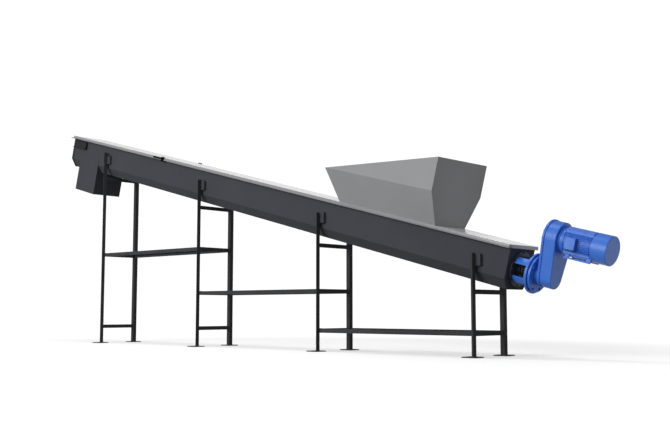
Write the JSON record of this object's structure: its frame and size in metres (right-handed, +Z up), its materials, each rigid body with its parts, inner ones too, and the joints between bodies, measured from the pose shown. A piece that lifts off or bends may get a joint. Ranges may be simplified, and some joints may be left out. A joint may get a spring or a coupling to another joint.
{
  "type": "screw conveyor",
  "caption": "Inclined trough screw conveyor on trestles, with a feed hopper, a discharge spout under its high end and a parallel-shaft gear motor at its low end.",
  "frame": {"origin": "on the floor, at the middle of the conveyor's whole length and width", "axes": "+X along the conveyor towards its drive and low end, +Y across it to the side away from the terminal box, +Z up"},
  "size_m": [8.2518, 0.83, 2.9285],
  "materials": {
    "frame_black": "satin",
    "trough_paint": "satin",
    "side_box_paint": "satin",
    "cover_sheet": "satin",
    "clamp_steel": "satin",
    "hopper_sheet": "satin",
    "seal_rubber": "matte",
    "screw_steel": "satin",
    "shaft_steel": "satin",
    "bearing_iron": "matte",
    "coupling_iron": "matte",
    "drive_paint": "satin",
    "terminal_box_paint": "satin",
    "stator_steel": "matte",
    "rotor_steel": "satin",
    "fan_plastic": "matte",
    "gland_metal": "satin"
  },
  "bodies": {
    "frame": {"bearing_end_cap": "bearing_iron", "bearing_housing_lower": "bearing_iron", "bearing_housing_upper": "bearing_iron", "cable_glands": "gland_metal", "cover_clamps": "clamp_steel", "cover_gasket": "seal_rubber", "cover_lower": "cover_sheet", "cover_middle": "cover_sheet", "cover_upper": "cover_sheet", "cross_rails_1": "frame_black", "cross_rails_2": "frame_black", "cross_rails_3": "frame_black", "cross_rails_4": "frame_black", "discharge_chute": "trough_paint", "end_plate_lower": "trough_paint", "end_plate_upper": "trough_paint", "fan_cover": "drive_paint", "flange_bolts": "drive_paint", "gear_cover": "drive_paint", "gear_flange": "drive_paint", "gear_housing": "drive_paint", "hopper": "hopper_sheet", "lantern": "drive_paint", "lantern_ring": "bearing_iron", "leg_brackets": "trough_paint", "leg_far_1": "frame_black", "leg_far_2": "frame_black", "leg_far_3": "frame_black", "leg_far_4": "frame_black", "leg_near_1": "frame_black", "leg_near_2": "frame_black", "leg_near_3": "frame_black", "leg_near_4": "frame_black", "motor_adapter": "drive_paint", "motor_end_shield": "drive_paint", "motor_frame": "drive_paint", "shaft_seals": "seal_rubber", "side_box": "side_box_paint", "side_rail_far_1": "frame_black", "side_rail_far_2": "frame_black", "side_rail_far_3": "frame_black", "side_rail_near_1": "frame_black", "side_rail_near_2": "frame_black", "side_rail_near_3": "frame_black", "stator_core": "stator_steel", "terminal_box": "terminal_box_paint", "terminal_box_lid": "terminal_box_paint", "trough": "trough_paint"},
    "screw": {"screw_tube": "screw_steel", "flight_lower": "screw_steel", "flight_middle": "screw_steel", "flight_upper": "screw_steel", "stub_shaft_upper": "shaft_steel", "stub_shaft_lower": "shaft_steel", "coupling_half_screw": "coupling_iron", "coupling_half_gear": "coupling_iron", "gear_output_shaft": "shaft_steel"},
    "motor_rotor": {"rotor": "rotor_steel", "fan": "fan_plastic"}
  },
  "joints": [
    {"name": "screw_turn", "type": "hinge", "parent": "frame", "child": "screw", "pos_m": [2.74803, 0, 0.92994], "axis": [0.9673, 0, -0.2538], "continuous": true},
    {"name": "motor_turn", "type": "hinge", "parent": "frame", "child": "motor_rotor", "pos_m": [3.66156, 0, 1.06246], "axis": [0.9673, 0, -0.2538], "continuous": true}
  ],
  "couplings": [
    {"joint": "motor_turn", "follows": "screw_turn", "ratio": 30}
  ]
}
